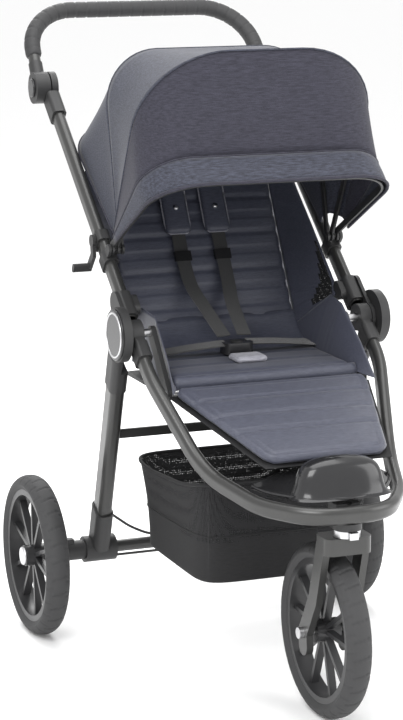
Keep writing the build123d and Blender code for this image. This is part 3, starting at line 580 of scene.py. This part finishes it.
def seat_pads():
    """The back, seat and calf pads."""
    back_seams = [BACK_CHANNEL * k for k in range(1, 11)]
    back = pad("back_pad_quilt", on_back(40, -20), SIDEWAYS, BACK_UP, BACK_FRONT,
               lambda v: 163.0, 380.0, 17.0, back_seams, seat_cloth, crown=3.0, seam_depth=PAD_SEAM)
    finish_piece(back, "backrest", "seat_cloth", "back_pad")
    seat = pad("seat_pad_quilt", at(0, -147, 508), SIDEWAYS, Vector((0, -1, 0)), Vector((0, 0, 1)),
               lambda v: 169.0, 184.0, 23.0, [62, 124], seat_cloth, crown=3.0, seam_depth=PAD_SEAM)
    finish_piece(seat, "front_frame", "seat_cloth", "seat_pad")
    down = (CALF_END - CALF_HINGE).normalized()
    out = Vector((0, down.z, -down.y)).normalized()
    long = (CALF_END - CALF_HINGE).length / MM
    calf = pad("calf_pad_quilt", CALF_HINGE + (down * 12 + out * 2.5) * MM, SIDEWAYS, down, out,
               lambda v: 180.5 - 0.291 * v, long - 12, 16.0, [58, 112, 166], seat_cloth, crown=3.0,
               corner=24.0, border=13.0, seam_depth=PAD_SEAM)
    finish_piece(calf, "calf_rest", "seat_cloth", "calf_pad")
    roll = [at(x, -335, 518.5) for x in range(-168, 169, 8)]
    edge = tube_mesh("seat_front_roll", roll, [13.0 * MM] * len(roll), seat_cloth, 20)
    finish_piece(edge, "front_frame", "seat_cloth")
    # A black sheet under the calf pad, a little wider than it: painted shade for the dark band between
    # the pad and the tube.
    corners = [CALF_HINGE + (down * v + out * 1.6) * MM for v in (14, long + 4)]
    outline = [corners[0] - SIDEWAYS * 0.186, corners[0] + SIDEWAYS * 0.186,
               corners[1] + SIDEWAYS * 0.112, corners[1] - SIDEWAYS * 0.112]
    shade_sheet = piece("calf_shade_sheet", outline, [(0, 1, 2, 3)], [black_cloth], smooth=False)
    solidify(shade_sheet, 1.2 * MM)
    finish_piece(shade_sheet, "calf_rest", "black_cloth")


seat_pads()


# ---- seat lining: gathered cloth between the pads and the frame ----------------------
HUB = at(0, -268, 597)
TUBE_UP = (at(0, 190, 975) - HUB).normalized()
TUBE_OVER = Vector((0, -TUBE_UP.z, TUBE_UP.y))


def on_tube(up, over, x):
    """A point by an upper tube: along it from the hub, above its middle line, and to the side."""
    return HUB + (TUBE_UP * up + TUBE_OVER * over + SIDEWAYS * x) * MM


def path_point(points, share):
    """The point at a share of the way along a polyline, span by span."""
    place = share * (len(points) - 1)
    index = min(int(place), len(points) - 2)
    return points[index].lerp(points[index + 1], place - index)


def gathered(name, outer, inner, folds, depth, cup, materials, pick=None):
    """Cloth between two edges, gathered into folds along the inner edge and cupped outwards."""
    along, across = 120, 16
    vertices = []
    for i in range(along + 1):
        s = i / along
        a, b = path_point(outer, s), path_point(inner, s)
        for j in range(across + 1):
            t = j / across
            wave = sin(2 * pi * folds * (s + 0.012 * sin(9 * pi * s)) + 2.2 * t)
            wave += 0.45 * sin(2 * pi * folds * 1.7 * s + 4.0 * t + 1.0)
            drop = depth * wave * t ** 0.8 * (1 - t) ** 0.35
            point = a.lerp(b, t)
            sign = 1 if point.x > 0 else -1
            point.x += sign * (cup * sin(pi * t) - abs(drop) * 0.4) * MM
            point += TUBE_UP * drop * 0.9 * MM
            vertices.append(point)
    thing = piece(name, vertices, grid_faces(along + 1, across + 1), materials)
    if pick:
        for face in thing.data.polygons:
            row, column = divmod(face.index, across)
            face.material_index = pick(row / along, column / across)
    return thing


def seat_lining():
    """The side wings, the skirts beside the seat, and the cloth between the seat and the back."""
    for side_name, sign in (("left", 1), ("right", -1)):
        outer = [on_tube(62, -10, sign * 186.5), on_tube(92, -10, sign * 196.0),
                 on_tube(235, -10, sign * 198.5), on_tube(378, -8, sign * 198.5)]
        inner = [on_back(up, -7, sign * 160) for up in (32, 110, 255, 400)]
        wing = gathered(f"side_wing_{side_name}", outer, inner, 9, 3.4, 3.0, [seat_cloth, black_mesh],
                        lambda s, t: 1 if 0.06 < s < 0.62 and 0.04 < t < 0.62 * (1 - s / 0.62) else 0)
        solidify(wing, 1.2 * MM)
        if sign > 0:
            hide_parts("side_panels")
        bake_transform(wing)
        top = [on_back(32, -4, sign * 162), on_tube(64, -10, sign * 178), at(sign * 174.5, -268, 624),
               at(sign * 180, -345, 560), at(sign * 186, -384, 512)]
        low = [at(sign * 166, y, 519) for y in (-128, -178, -230, -285, -338)]
        skirt = gathered(f"seat_skirt_{side_name}", top, low, 5, 1.2, -3.5, [seat_cloth])
        solidify(skirt, 1.2 * MM)
        finish_piece(skirt, "front_frame", "seat_cloth")
    rows, columns = 10, 40
    bottom, bend, top = at(0, -166, 531), at(0, -116, 533), on_back(56, -2)
    vertices = []
    for i in range(rows + 1):
        v = i / rows
        spot = bottom * (1 - v) ** 2 + bend * 2 * v * (1 - v) + top * v * v
        for j in range(columns + 1):
            u = -1 + 2 * j / columns
            vertices.append(spot + SIDEWAYS * u * 0.165 + Vector((0, 0, 0.0015 * sin(11 * u + 5 * v))))
    join = piece("seat_back_join", vertices, grid_faces(rows + 1, columns + 1), [seat_cloth])
    solidify(join, 1.4 * MM)
    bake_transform(join)


seat_lining()


# ---- footrest: a curved gloss tray with a domed pad ----------------------------------
def footrest():
    """A tray whose wings run into the tube, with a rounded dome in the middle."""
    front = [(-121, -566), (-111, -602), (-84, -642), (-54, -670), (0, -683),
             (54, -670), (84, -642), (111, -602), (121, -566)]
    rear = [(-121, -566), (-98, -572), (-70, -579), (-36, -586), (0, -588),
            (36, -586), (70, -579), (98, -572), (121, -566)]
    front = curve_points([at(x, y, 0) for x, y in front], 8)
    rear = curve_points([at(x, y, 0) for x, y in rear], 8)
    rows, columns = 16, len(front)
    top, low = [], []
    for i in range(rows + 1):
        v = i / rows
        for j in range(columns):
            u = abs(-1 + 2 * j / (columns - 1))
            point = front[j].lerp(rear[j], v)
            rise = 36 * v ** 1.5 * (1 - u ** 2.4) + 5 * (1 - v) ** 5 + 6 * u ** 6
            top.append(point + Vector((0, 0, (388 + rise) * MM)))
            low.append(point + Vector((0, 0, (384 + 0.85 * rise) * MM)))
    tray = piece("footrest_tray", top + low, shell_faces(rows + 1, columns), [gloss_plastic])
    finish_piece(tray, "front_frame", "gloss_black", "footrest")
    rings = [(88, 43, 388.5), (82, 38.5, 392), (77, 35.5, 399), (74, 33, 413), (71, 30.5, 427),
             (66, 27, 438), (58, 21.5, 445), (46, 15, 449), (30, 9, 451), (10, 3, 451.8)]
    around = 72
    vertices = []
    for half_wide, half_deep, z in rings:
        for k in range(around):
            c, d = cos(2 * pi * k / around), sin(2 * pi * k / around)
            x = half_wide * abs(c) ** 0.68 * (1 if c > 0 else -1)
            y = -640 + half_deep * abs(d) ** 0.68 * (1 if d > 0 else -1)
            vertices.append(at(x, y, z - 6.0 * (x / 71) ** 2 * (z - 388) / 65))
    faces = grid_faces(len(rings), around, closed=True)
    faces.append(tuple(range(len(vertices) - around, len(vertices))))
    dome = piece("footrest_dome", vertices, faces, [gloss_plastic])
    soften(dome)
    finish_piece(dome, "front_frame", "gloss_black")


footrest()


# ---- hub caps: a bright ring round a plain black disc --------------------------------
def ring_points(centre, radius, count=64):
    """Points round a circle that faces along X, back to the first."""
    turns = [2 * pi * k / count for k in range(count + 1)]
    return [centre + Vector((0, cos(t), sin(t))) * radius for t in turns]


for side_name, sign in (("left", 1), ("right", -1)):
    low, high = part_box("hub_caps")
    centre = Vector((sign * (high.x - 0.4 * MM), HUB.y, HUB.z))
    ring = tube_mesh(f"hub_ring_{side_name}", ring_points(centre, 37.5 * MM), [1.9 * MM] * 65, steel, 10,
                     caps=False)
    finish_piece(ring, "rear_legs", "steel")


# ---- tyres ---------------------------------------------------------------------------
TYRE_RADIUS, TYRE_HALF = WHEEL, 22.0 * MM


def tyre(name, node, body):
    """A tyre with Y-shaped sipes across its tread."""
    low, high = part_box(node)
    centre = (low + high) / 2
    around, across = 420, 40
    pitch = 30
    vertices = []
    for i in range(around):
        turn = 2 * pi * i / around
        for j in range(across + 1):
            u = -1 + 2 * j / across
            sweep = u * radians(112)
            x = sin(clamp(abs(sweep), 0, pi / 2)) * TYRE_HALF * (1 if u >= 0 else -1)
            crown = TYRE_RADIUS - 0.016
            if abs(sweep) <= pi / 2:
                radius = crown + 0.016 * cos(sweep)
            else:
                fall = (abs(sweep) - pi / 2) / radians(22)
                radius = crown - 0.010 * fall
                x *= 1 - 0.28 * fall
            phase = (i * pitch / around) % 1.0
            skew = abs(u) * 0.42
            groove = 0.0
            if abs(u) < 0.66:
                stem = abs(((phase + (0.12 if u > 0 else 0.62)) % 1.0) - 0.5)
                branch = abs(((phase + skew * (1 if u > 0 else -1) + 0.3) % 1.0) - 0.5)
                if 0.30 < abs(u) < 0.66 and stem < 0.055:
                    groove = 1.0
                if abs(u) < 0.34 and branch < 0.05:
                    groove = 1.0
                if 0.03 < abs(abs(u) - 0.36) < 0.055:
                    groove = max(groove, 0.4)
            if abs(abs(u) - 0.74) < 0.02:
                groove = 0.7
            radius -= groove * 0.0016
            vertices.append(centre + Vector((x, radius * cos(turn), radius * sin(turn))))
    faces = []
    width = across + 1
    for i in range(around):
        k = (i + 1) % around
        for j in range(across):
            faces.append((i * width + j, i * width + j + 1, k * width + j + 1, k * width + j))
        faces.append((i * width + across, i * width, k * width, k * width + across))
    thing = piece(name, vertices, faces, [tyre_rubber])
    finish_piece(thing, body, "tyre_rubber", node)


for side_name in ("left", "right", "front"):
    tyre(f"tyre_{side_name}_tread", f"tyre_{side_name}", f"wheel_{side_name}")


# ---- handle grip ---------------------------------------------------------------------
def rounded_path(points, radius, step):
    """Points along straight runs joined by one arc at the middle point."""
    a, b, c = points
    u, v = (a - b).normalized(), (c - b).normalized()
    turn = pi - u.angle(v)
    reach = radius * tan(turn / 2)
    start, stop = b + u * reach, b + v * reach
    centre = b + (u + v).normalized() * (radius / cos(turn / 2))
    path = []
    count = int((start - a).length / step)
    path += [a.lerp(start, k / count) for k in range(count)]
    arm = start - centre
    axis = arm.cross(stop - centre).normalized()
    count = int(radius * turn / step)
    path += [centre + Matrix.Rotation(turn * k / count, 3, axis) @ arm for k in range(count)]
    count = int((c - stop).length / step)
    path += [stop.lerp(c, k / count) for k in range(count + 1)]
    return path


def handle_grip():
    """The long grip, with rings pressed into it."""
    pivot, top = at(0, 190, 975), at(0, 306, 1108)
    rise = top - pivot
    side_x, lean, start = 228 * MM, 12 * MM, 70 * MM
    part_way = start / rise.length
    a = pivot + rise * part_way + Vector((side_x - lean * part_way, 0, 0))
    b = pivot + rise + Vector((side_x - lean, 0, 0))
    half = rounded_path((a, b, pivot + rise), 96 * MM, 2.0 * MM)
    path = half + [Vector((-p.x, p.y, p.z)) for p in reversed(half[:-1])]
    radii = []
    length = 0.0
    for i, point in enumerate(path):
        if i:
            length += (point - path[i - 1]).length
        ring = abs(((length / (22 * MM)) % 1.0) - 0.5) * 22
        press = 1.1 if ring < 1.2 else 0.0
        radii.append((15.0 - press) * MM)
    ends = 4
    for k in range(ends):
        shrink = (1 - k / ends) ** 2 * 3.0 * MM
        radii[k] -= shrink
        radii[-1 - k] -= shrink
    grip = tube_mesh("handle_grip_rings", path, radii, grip_rubber, 28)
    finish_piece(grip, "handlebar", "grip_foam", "handle_grip")


handle_grip()


# ---- harness -------------------------------------------------------------------------
STRAP_WIDE = 26 * MM


def harness():
    """Shoulder pads with piping, straps, studs, sliders, crotch pad and waist straps."""
    for side_name, x in (("left", 38.0), ("right", -38.0)):
        thing = pad(f"shoulder_pad_{side_name}", on_back(210, 0.6, x), SIDEWAYS, BACK_UP, BACK_FRONT,
                    lambda v: 25.0 - 2.0 * sin(pi * v / 150), 150.0, 12.0, [], seat_cloth,
                    crown=2.5, corner=12)
        finish_piece(thing, "backrest", "seat_cloth", *(["shoulder_pads"] if x > 0 else []))
        piping = []
        for k in range(49):
            turn = 2 * pi * k / 48
            u = clamp(1.35 * cos(turn), -1, 1) * 24.5
            v = 75 + clamp(1.2 * sin(turn), -1, 1) * 74
            piping.append(on_back(210 + v, 7.0, x + u))
        finish_piece(tube_mesh(f"shoulder_piping_{side_name}", piping, [1.3 * MM] * 49, piping_cloth, 6),
                     "backrest", "light_cloth")
        path = curve_points([on_back(225, 3, x), on_back(170, 5, x * 1.02), on_back(110, 14, x * 0.95),
                             on_back(62, 36, x * 0.72), at(x * 0.5, -196, 566)])
        thing = strap(f"shoulder_strap_{side_name}", path, SIDEWAYS, STRAP_WIDE, 2 * MM, webbing)
        finish_piece(thing, "backrest", "webbing", *(["shoulder_straps"] if x > 0 else []))
        upper = [on_back(350, 3.2, x), on_back(372, 4.0, x), on_back(398, 3.0, x)]
        thing = strap(f"shoulder_strap_top_{side_name}", upper, SIDEWAYS, STRAP_WIDE, 2 * MM, webbing)
        finish_piece(thing, "backrest", "webbing")
        stud = [on_back(258, front, x) for front in (12.5, 16.5)]
        finish_piece(tube_mesh(f"shoulder_stud_{side_name}", stud, [4.2 * MM] * 2, steel, 16),
                     "backrest", "steel")
        slider = [on_back(168 + v, 8.2, x * 1.01) for v in (-9, 9)]
        thing = strap(f"strap_slider_{side_name}", slider, SIDEWAYS, 33 * MM, 5 * MM, gloss_plastic)
        finish_piece(thing, "backrest", "gloss_black")
        path = curve_points([at(x * 0.55, -208, 556), at(x * 2.0, -204, 552), at(x * 3.4, -190, 544),
                             at(x * 4.25, -168, 537)])
        across = Vector((0, 1, 0.2))
        thing = strap(f"waist_strap_{side_name}", path, across, STRAP_WIDE, 2.2 * MM, webbing)
        finish_piece(thing, "front_frame", "webbing", *(["waist_straps"] if x > 0 else []))
    pad_piece = pad("crotch_pad_quilt", at(0, -236, 533.8), SIDEWAYS, Vector((0, -1, 0)),
                    Vector((0, 0, 1)), lambda v: 30.0, 50.0, 10.0, [], grey_cloth, crown=2.0,
                    corner=12)
    finish_piece(pad_piece, "front_frame", "light_cloth", "crotch_pad")


harness()


# ---- basket --------------------------------------------------------------------------
def basket():
    """A sagging bag: solid cloth below, open mesh above, bound round its rim."""
    half, front, back = 163.0, -455.0, -110.0
    rows = 22
    columns = 4 * 24
    vertices = []

    def ring(level):
        """A rounded rectangle at a level from 0, the floor, to 1, the rim."""
        points = []
        wide = half * (0.93 + 0.07 * level)
        first = front + 22 * (1 - level)
        last = back - 26 * (1 - level)
        centre = (first + last) / 2
        deep = (last - first) / 2
        for k in range(columns):
            turn = 2 * pi * (k + 0.5) / columns
            c, s = cos(turn), sin(turn)
            power = 0.28
            x = wide * (abs(c) ** power) * (1 if c > 0 else -1)
            y = centre + deep * (abs(s) ** power) * (1 if s > 0 else -1)
            forward = (last - y) / (last - first)
            rim = 345 + 26 * forward - 14 * sin(pi * forward) * level
            floor = 190.0
            z = floor + (rim - floor) * level
            sag = 5.0 * sin(pi * level)
            x += sag * (-1 if x > 0 else 1) * (abs(c) > 0.7) * 0.8
            z -= 2.0 * sin(5 * turn) * level * (1 - level)
            points.append(at(x, y, z))
        return points

    for i in range(rows + 1):
        vertices += ring(i / rows)
    faces = grid_faces(rows + 1, columns, closed=True)
    bottom = len(vertices)
    inner = 8
    low = ring(0)
    centre = sum(low, Vector()) / columns
    for i in range(1, inner):
        for point in low:
            near = point.lerp(centre, i / inner)
            near.z -= 3.5 * MM * sin(pi / 2 * i / inner)
            vertices.append(near)
    vertices.append(centre - Vector((0, 0, 3.5 * MM)))
    previous = 0
    for i in range(inner - 1):
        start = bottom + i * columns
        for j in range(columns):
            k = (j + 1) % columns
            faces.append((previous + j, previous + k, start + k, start + j))
        previous = start
    for j in range(columns):
        faces.append((previous + j, previous + (j + 1) % columns, len(vertices) - 1))
    bag = piece("basket_bag", vertices, faces, [black_cloth, black_mesh])
    for face in bag.data.polygons:
        middle_z = face.center.z / MM
        if middle_z > 262:
            face.material_index = 1
    solidify(bag, 1.2 * MM, -1.0)
    soften(bag)
    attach(bag, "front_frame")
    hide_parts("basket")
    tuple(at(0, -300, 372))
    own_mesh(bag)
    rim_points = ring(1.0)
    rim_points.append(rim_points[0])
    binding = tube_mesh("basket_rim_binding", rim_points, [3.0 * MM] * len(rim_points), black_cloth,
                        8, caps=False)
    band = ring(0.47)
    band.append(band[0])
    line = tube_mesh("basket_band_binding", band, [1.6 * MM] * len(band), black_cloth, 6,
                     caps=False)
    for thing in (binding, line):
        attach(thing, "front_frame")
        tuple(at(0, -300, 372))
        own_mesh(thing)


basket()
